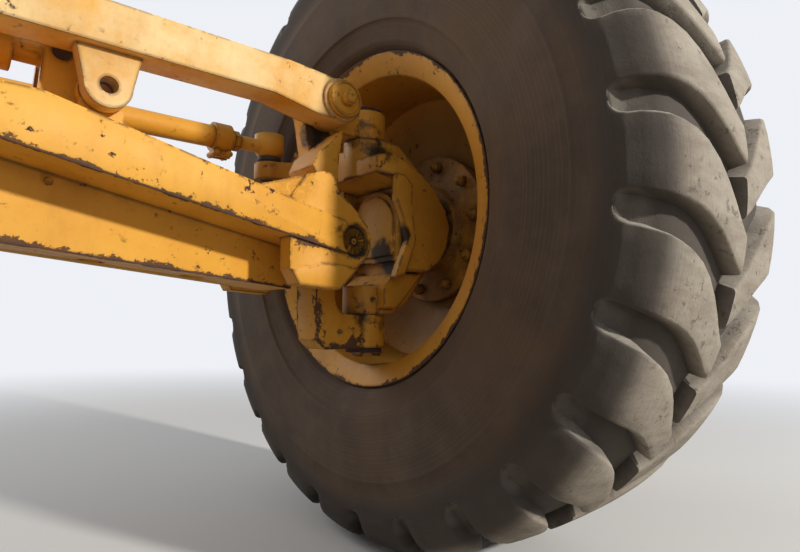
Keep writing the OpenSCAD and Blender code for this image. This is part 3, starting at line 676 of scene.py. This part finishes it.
class GraderLeanGear(bpy.types.Operator):
    """Paints the lean supports, the lean bar and the lean cylinder, with their pins"""

    bl_idname = "grader.lean_gear"
    bl_label = "Lean gear"

    def execute(self, context):
        pin_ends = []
        for _, s in SIDES:
            pin_ends += spots_of(s, (LEAN_X, -140, LEAN_Z, 90), (LEAN_X, 140, LEAN_Z, 90))
        pin_steel = bare_steel("greasy_pin", (0.10, 0.078, 0.062), 0.8, pin_ends, polish=0.5)
        cap_paint = painted_steel("cap_paint", wear=0.8, dusty=0.3)
        # The lower arm's bottom edges and the upright edge inboard
        arm_edges = [("along", 0.036, -0.272, 0.0), ("up", 0.708, 0.036)]
        for n, s in SIDES:
            greasy = spots_of(s, (LEAN_X, -40, LEAN_Z, 95), (KING_X, 0, 166, 82), (KING_X, 0, -200, 90),
                              (762, 0, 130, 70), (712, -30, 150, 60))
            paint = painted_steel("support_paint_" + n, greasy, wear=1.1, shade=0.08, dusty=0.3,
                                  edges=arm_edges, breadth=2.6)
            dress("lean_support_" + n, paint, bevel=0.004)
            dress("lean_pin_" + n, pin_steel, bevel=0.0015)
            dress("kingpins_" + n, pin_steel, bevel=0.0015)
            dress("bar_pin_" + n, cap_paint, bevel=0.0012)
        eye = (LEAN_X, -66, BAR_Z, 40)
        bar = painted_steel("bar_paint", spots_of(1, eye) + spots_of(-1, eye), wear=0.9, dusty=0.4,
                            bleach_and_glare=[(0.30, -0.10, 0.2, 0.75), (-0.30, -0.10, 0.2, 0.75)])
        dress("lean_bar", bar, bevel=0.005)
        dress("lean_barrel", painted_steel("lean_cylinder_paint", wear=0.8, dusty=0.4), bevel=0.002)
        dress("lean_rod", chromed("lean_rod_chrome"), bevel=0.0015)
        dress("lean_base_pin", pin_steel, bevel=0.0015)
        return {"FINISHED"}


class GraderKnuckles(bpy.types.Operator):
    """Paints the steering knuckles and the covers of the spindles"""

    bl_idname = "grader.knuckles"
    bl_label = "Knuckles"

    def execute(self, context):
        for n, s in SIDES:
            greasy = spots_of(s, (KING_X, 0, 160, 75), (KING_X, 0, -200, 70), (894, -40, -90, 60),
                              (BALL_X, BALL_Y, 165, 55), (KING_X, -60, 130, 62), (872, -92, -40, 45))
            paint = painted_steel("knuckle_paint_" + n, greasy, wear=1.2, shade=0.26, dusty=0.25)
            dress("knuckle_" + n, paint, bevel=0.004)
            greasy = spots_of(s, (880, -30, -70, 60), (874, 45, -60, 50))
            cover = painted_steel("cover_paint_" + n, greasy, wear=1.2, shade=0.3, dusty=0.05)
            dress("spindle_cover_" + n, cover, bevel=0.0025)
        return {"FINISHED"}


class GraderWheels(bpy.types.Operator):
    """Paints the hubs, the rims and the wheel bolts"""

    bl_idname = "grader.wheels"
    bl_label = "Wheels"

    def execute(self, context):
        t = context.scene.grader_tyre
        bolt_paint = painted_steel("wheel_bolt_paint", wear=1.4, shade=0.6, dusty=0.3)
        lip = ("round", MID_X - t.rim_width / 2, t.bead + t.lip)
        for n, s in SIDES:
            # The hub sits deep in the wheel: its grease spot and shade add painted shade to grease and dirt
            hub = painted_steel("hub_paint_" + n, spots_of(s, (1040, 0, 0, 130)), shade=0.75, dusty=0.1)
            dress("hub_" + n, hub, bevel=0.002)
            dress("hub_cap_" + n, hub, bevel=0.004)
            dress("wheel_bolts_" + n, bolt_paint, bevel=0.0012)
            # Painted shade darkens the rim's well round the hub
            rim = painted_steel("rim_paint_" + n, wear=1.3, shade=0.10, dusty=0.05, edges=[lip],
                                painted_shade=spots_of(s, (1020, 0, 0, 420)))
            dress("rim_" + n, rim, bevel=0.0025)
        return {"FINISHED"}


def lug_mesh(t, s, f):
    """One lug of the tread on side s of the axle, of the outboard row for f = 1 and the inboard for f = -1.
    It rises flush from the sidewall, rolls over the shoulder and curves to the middle."""
    half, top = t.width / 2, t.radius
    # distance from the middle, radius of the face, turn in degrees, width of the groove beside it
    line = [(half - 0.0118, top - 0.0700, -1.0, 0.046), (half - 0.0180, top - 0.0535, -0.8, 0.048),
            (half - 0.0280, top - 0.038, -0.5, 0.050), (half - 0.0420, top - 0.025, -0.2, 0.053),
            (half - 0.0600, top - 0.0150, 0.3, 0.057), (half - 0.0820, top - 0.0085, 0.9, 0.061),
            (half - 0.1060, top - 0.0045, 1.8, 0.066), (half - 0.1320, top - 0.0024, 3.1, 0.073),
            (half - 0.1580, top - 0.0012, 4.8, 0.082), (half - 0.1840, top - 0.0004, 6.7, 0.092),
            (half - 0.2080, top, 8.5, 0.100), (-0.004, top, 9.9, 0.106)]
    pitch = 2 * math.pi / t.lug_count
    # The pocket's round end: the groove opens as a quarter circle, behind a buried start
    stations = [(half - 0.0068, top - 0.104, 0.010, -1.4, pitch * (top - 0.104))]
    for d in (0.0, 0.0008, 0.0024, 0.0050, 0.0086, 0.0130, 0.0180):
        r = top - 0.0905 + d
        gap = 0.045 * math.sqrt(1 - (1 - d / 0.018) ** 2)
        stations.append((half - 0.0067 - d * 0.17, r, 0.031 if d else 0.012, -1.3 + d * 12, pitch * r - gap))
    stations += [(a, r, 0.031, turn, pitch * r - gap) for a, r, turn, gap in line]
    bm, rings = bmesh.new(), []
    for k, (a, r, depth, turn, wide) in enumerate(stations):
        before, after = stations[max(k - 1, 0)], stations[min(k + 1, len(stations) - 1)]
        way = Vector((after[0] - before[0], after[1] - before[1])).normalized()
        down = Vector((way.y, -way.x))
        if down.x + down.y > 0:
            down.negate()
        edge = min(0.0042, depth * 0.4)
        foot = wide / 2 + 0.0065 * depth / 0.031
        half_line = [(foot, depth + 0.004), (wide / 2 + 0.0012, edge), (wide / 2 - edge * 0.3, edge * 0.3),
                     (wide / 2 - edge, 0.0), (wide / 4, -0.0004)]
        section = [(-u, d) for u, d in half_line] + [(0.0, -0.0005)] + list(reversed(half_line))
        ring = []
        for u, d in section:
            q = r + down.y * d
            b = a + down.x * d
            angle = math.radians(turn) + u / r
            # About the middle of the wheel, where the tree that repeats the lug expects it
            ring.append(bm.verts.new((s * f * b, -q * math.sin(angle), q * math.cos(angle))))
        rings.append(ring)
    loft(bm, rings)
    bm.faces.new(rings[0])
    bm.faces.new(list(reversed(rings[-1])))
    bmesh.ops.recalc_face_normals(bm, faces=bm.faces)
    return bm


class GraderTyres(bpy.types.Operator):
    """Makes the tyres: a carcass, and curved lugs in two rows"""

    bl_idname = "grader.tyres"
    bl_label = "Tyres"

    def execute(self, context):
        t = context.scene.grader_tyre
        half, top, lip_a = t.width / 2, t.radius, t.rim_width / 2
        ground = top - t.lug_depth
        lip_r = t.bead + t.lip
        # From the bead seat over the sidewall and the shoulder to the middle of the crown
        outer = [(lip_a - 0.029, t.bead + 0.0025), (lip_a - 0.0148, t.bead + 0.0192)]
        outer += [(lip_a + a, lip_r + r) for a, r in (
            (-0.0098, -0.004), (-0.006, 0.003), (0.003, 0.006), (0.010, 0.011), (0.015, 0.020),
            (0.017, 0.030))]
        outer += [(half - a, lip_r + r) for a, r in (
            (0.012, 0.045), (0.009, 0.052), (0.0065, 0.053), (0.0046, 0.060), (0.0036, 0.085),
            (0.0031, 0.115), (0.0031, 0.150), (0.0034, 0.178), (0.0034, 0.182), (0.0049, 0.184))]
        outer += [(half - a, top - r) for a, r in (
            (0.0050, 0.122), (0.0054, 0.104), (0.0062, 0.0945), (0.0072, 0.0905), (0.0095, 0.0880),
            (0.0130, 0.0868), (0.0300, 0.0820), (0.0360, 0.0730), (0.0440, 0.062), (0.0560, 0.048),
            (0.0740, 0.038))]
        outer += [(half - 0.1000, ground - 0.006), (half - 0.140, ground - 0.003), (0.02, ground - 0.001)]
        inner = [(half - 0.085, ground - 0.042), (half - 0.045, top - 0.10), (half - 0.027, lip_r + 0.16),
                 (half - 0.030, lip_r + 0.06), (lip_a - 0.060, t.bead + 0.024)]
        # Up the outboard side, over the crown, down the inboard side and back inside
        section = outer + [(-a, r) for half_line in (outer, inner) for a, r in reversed(half_line)] + inner
        for n, s in SIDES:
            rubber = tyre_rubber("tyre_rubber_" + n)
            carcass = new_object("tyre_carcass_" + n, turned(section, 180, s))
            settle(carcass, "wheel_" + n, rubber, ["tyre_" + n], angle=50)
            tree = ring_tree("tread_lugs", rubber, t.lug_count)
            for f, row in ((1, "outer"), (-1, "inner")):
                turn = 0.0 if f > 0 else -math.pi / t.lug_count
                lugs = tree.run(new_object("lug", lug_mesh(t, s, f)), "tyre_lugs_" + row + "_" + n,
                                Centre=(s * MID_X, 0.0, WHEEL_Z), Turn=turn)
                settle(lugs, "wheel_" + n, rubber, angle=40)
        return {"FINISHED"}


class GraderSteering(bpy.types.Operator):
    """Paints the tie rod and its ends"""

    bl_idname = "grader.steering"
    bl_label = "Steering"

    def execute(self, context):
        rod = painted_steel("tie_rod_paint", wear=0.6, dusty=0.4)
        dress("tie_rod", rod, bevel=0.0015)
        dress("tie_clamps", rod, bevel=0.0015)
        stud = bare_steel("stud_steel", (0.18, 0.15, 0.13), 0.6)
        boot = boot_rubber("boot_rubber")
        for n, s in SIDES:
            dress("tie_end_" + n, rod, bevel=0.004)
            dress("tie_stud_" + n, stud, bevel=0.001)
            dress("tie_boot_" + n, boot, bevel=0.002)
        return {"FINISHED"}


class GraderWelds(bpy.types.Operator):
    """Lays weld beads round the pivot's tube, at both ends"""

    bl_idname = "grader.welds"
    bl_label = "Welds"

    def execute(self, context):
        paint = painted_steel("weld_paint", wear=0.9, shade=0.3, dusty=0.3)
        lines = [arc(0, -WHEEL_Z * 1000, 84, f * 151, -24, 204, 30) for f in (-1, 1)]
        welds = weld_tree(paint).run(line_mesh("weld_path", lines), "beam_welds")
        settle(welds, "beam", paint, angle=60)
        return {"FINISHED"}


class GraderFasteners(bpy.types.Operator):
    """Adds the small bolts, nuts, nipples and rings that the solids leave out"""

    bl_idname = "grader.fasteners"
    bl_label = "Fasteners"

    def execute(self, context):
        paint = painted_steel("fastener_paint", wear=0.9, shade=0.3, dusty=0.3)
        cap = painted_steel("cap_ring_paint", wear=0.7, shade=0.1, dusty=0.3)
        pin_face = painted_steel("pin_face", wear=0.7, shade=0.5, dusty=0.3)
        nipple = bare_steel("nipple_steel", (0.35, 0.31, 0.25), 0.3)

        def put(name, bm, body, slot, material):
            bmesh.ops.recalc_face_normals(bm, faces=bm.faces)
            settle(new_object(name, bm), body, material)

        for n, s in SIDES:
            # Three bolts on each plate over a kingpin
            bm = bmesh.new()
            for k in range(3):
                a = math.radians(90 + 120 * k)
                for z, way in ((238, 1), (-282, -1)):
                    hex_bolt(bm, (s * KING_X + 27 * math.cos(a), 27 * math.sin(a), z), (0, 0, way), 16, 9)
            put("kingpin_bolts_" + n, bm, "support_" + n, "steel", paint)
            # Six bolts round the hub cap
            bm = bmesh.new()
            for k in range(6):
                a = math.radians(60 * k)
                at = (s * (MID_X * 1000 + 186), 64 * math.sin(a), 64 * math.cos(a))
                hex_bolt(bm, at, (s, 0, 0), 17, 7)
            put("hub_cap_bolts_" + n, bm, "wheel_" + n, "steel", paint)
            # A plug in the keel, and grease nipples at the bosses
            bm = bmesh.new()
            hex_bolt(bm, (s * 250, -56, -20), (0, -1, 0), 11, 7, washer=False)
            put("keel_plugs_" + n, bm, "beam", "steel", paint)
            for piece, *places in (("support", (762, -36, -238)),
                                   ("knuckle", (838, -44, 112), (838, -44, -172))):
                bm = bmesh.new()
                for x, y, z in places:
                    hex_bolt(bm, (s * x, y, z), (0, -1, 0), 9, 5, washer=False)
                    hex_bolt(bm, (s * x, y - 5, z), (0, -1, 0), 5, 6, washer=False)
                put(piece + "_nipples_" + n, bm, piece + "_" + n, "steel", nipple)
            # The nut that locks each end of the tie rod
            bm = bmesh.new()
            nut_x, body = (669, "tie_rod") if s > 0 else (682, "tie_end_right")
            hex_bolt(bm, (s * nut_x, BALL_Y, BALL_Z), (s, 0, 0), 40, 16, washer=False)
            put("tie_nut_" + n, bm, body, "paint", paint)
            # The ring on the cap of the lean bar's pin
            bm = bmesh.new()
            along_y(bm, s * LEAN_X, BAR_Z, 34.5, (-116.6, -114.5), 56, 0.9, 29.5)
            put("bar_pin_rings_" + n, bm, "support_" + n, "steel", cap)
            # The plate and the nipple in each end of the lean pin
            bm = bmesh.new()
            for f in (-1, 1):
                along_y(bm, s * LEAN_X, LEAN_Z, 25, (f * 135, f * 139), 48, 1.2, 9)
                along_y(bm, s * LEAN_X, LEAN_Z, 6, (f * 135, f * 141), 20, 1.0, 2)
            put("lean_pin_rings_" + n, bm, "beam", "steel", pin_face)
        return {"FINISHED"}


class GraderStageMaker(bpy.types.Operator):
    """Makes the camera, the lights and the plain floor"""

    bl_idname = "grader.stage"
    bl_label = "Stage"

    def execute(self, context):
        g = context.scene.grader_stage
        data = bpy.data.cameras.new("camera")
        data.sensor_width = 36.0
        data.lens = g.lens
        data.clip_start = 0.01
        camera = bpy.data.objects.new("camera", data)
        context.scene.collection.objects.link(camera)
        pitch = math.radians(4.25)
        # The bearing that makes the rim's ellipse and the beam's slope fall as in the photo
        ahead = Vector((0.656 * math.cos(pitch), 0.755 * math.cos(pitch), math.sin(pitch)))
        camera.location = (0.099, -0.983, -0.2325)
        camera.rotation_mode = "QUATERNION"
        camera.rotation_quaternion = ahead.to_track_quat("-Z", "Y")
        context.scene.camera = camera

        floor_z = WHEEL_Z - context.scene.grader_tyre.radius - 0.001
        bm = bmesh.new()
        bmesh.ops.create_circle(bm, cap_ends=True, segments=96, radius=24.0)
        bmesh.ops.translate(bm, verts=bm.verts, vec=(0, 0, floor_z))
        floor = new_object("floor", bm)
        m = Maker("floor_plain")
        rays = m.n("ShaderNodeLightPath")
        tone = m.mix(m.noise(1.5, 3.0, 0.5), g.floor, [c * 0.985 for c in g.floor])
        m.finish(m.mix(rays.outputs["Is Diffuse Ray"], tone, g.bounce), 0.9, specular=0.1)
        # Far away the floor takes the backdrop's colour, so that no horizon shows
        far = m.n("ShaderNodeVectorMath", operation="LENGTH")
        m.link(m.place, far.inputs[0])
        glow = m.n("ShaderNodeEmission")
        glow.inputs["Color"].default_value = (*BACKDROP, 1)
        glow.inputs["Strength"].default_value = BACKDROP_STRENGTH
        seen = m.math("MAXIMUM", rays.outputs["Is Camera Ray"], rays.outputs["Is Glossy Ray"])
        blend = m.n("ShaderNodeMixShader")
        m.link(m.times(m.step(far.outputs["Value"], 2.0, 5.5), seen), blend.inputs[0])
        m.link(m.shader.outputs[0], blend.inputs[1])
        m.link(glow.outputs[0], blend.inputs[2])
        m.link(blend.outputs[0], m.tree.nodes["Material Output"].inputs["Surface"])
        floor.data.materials.append(m.material)

        # The backdrop shows to the camera and in gloss, and lights the axle more weakly
        world = bpy.data.worlds.new("studio")
        context.scene.world = world
        world.use_nodes = True
        tree = world.node_tree
        back = tree.nodes["Background"]
        path = tree.nodes.new("ShaderNodeLightPath")
        seen = tree.nodes.new("ShaderNodeMath")
        seen.operation = "MAXIMUM"
        tree.links.new(path.outputs["Is Camera Ray"], seen.inputs[0])
        tree.links.new(path.outputs["Is Glossy Ray"], seen.inputs[1])
        power = tree.nodes.new("ShaderNodeMapRange")
        power.inputs["To Min"].default_value = g.sky
        power.inputs["To Max"].default_value = BACKDROP_STRENGTH
        tree.links.new(seen.outputs[0], power.inputs["Value"])
        back.inputs["Color"].default_value = (*BACKDROP, 1)
        tree.links.new(power.outputs[0], back.inputs["Strength"])

        def lamp(name, at, to, size, watts, tint):
            data = bpy.data.lights.new(name, "AREA")
            data.shape = "DISK"
            data.size = size
            data.energy = watts
            data.color = tint
            obj = bpy.data.objects.new(name, data)
            context.scene.collection.objects.link(obj)
            obj.location = at
            obj.rotation_mode = "QUATERNION"
            obj.rotation_quaternion = (Vector(to) - Vector(at)).to_track_quat("-Z", "Y")

        lamp("key_light", (2.2, -4.8, 1.8), (0.4, 0, 0), 0.3, g.key, (1.0, 0.95, 0.87))
        lamp("fill_light", (-1.6, -4.8, 1.2), (0.5, 0, 0), 2.4, g.key * 0.05, (0.95, 0.97, 1.0))
        lamp("back_light", (-1.5, 4.4, 2.6), (0, 0, 0), 2.4, g.key * 0.3, (1.0, 0.97, 0.93))
        return {"FINISHED"}


class GraderPanel(bpy.types.Panel):
    """Lists the sizes, the colours and the steps of the front axle"""

    bl_label = "Grader front axle"
    bl_idname = "VIEW3D_PT_grader"
    bl_space_type = "VIEW_3D"
    bl_region_type = "UI"
    bl_category = "Grader"

    def draw(self, context):
        for group in (context.scene.grader_finish, context.scene.grader_tyre, context.scene.grader_weld,
                      context.scene.grader_stage):
            box = self.layout.box()
            for key in group.__annotations__:
                box.prop(group, key)
        for step in STEPS:
            self.layout.operator(step.bl_idname)


GROUPS = (("grader_finish", GraderFinish), ("grader_tyre", GraderTyre), ("grader_weld", GraderWeld),
          ("grader_stage", GraderStage))
STEPS = (GraderStageMaker, GraderBeam, GraderLeanGear, GraderKnuckles, GraderWheels, GraderTyres,
         GraderSteering, GraderWelds, GraderFasteners)


def register():
    for name, group in GROUPS:
        bpy.utils.register_class(group)
        setattr(bpy.types.Scene, name, bpy.props.PointerProperty(type=group))
    for cls in (*STEPS, GraderPanel):
        bpy.utils.register_class(cls)


def unregister():
    for cls in reversed((*STEPS, GraderPanel)):
        bpy.utils.unregister_class(cls)
    for name, group in reversed(GROUPS):
        delattr(bpy.types.Scene, name)
        bpy.utils.unregister_class(group)


def main():
    register()
    for step in STEPS:
        category, name = step.bl_idname.split(".")
        getattr(getattr(bpy.ops, category), name)()
    bpy.context.scene.view_settings.view_transform = "Standard"


if __name__ == "__main__":
    main()
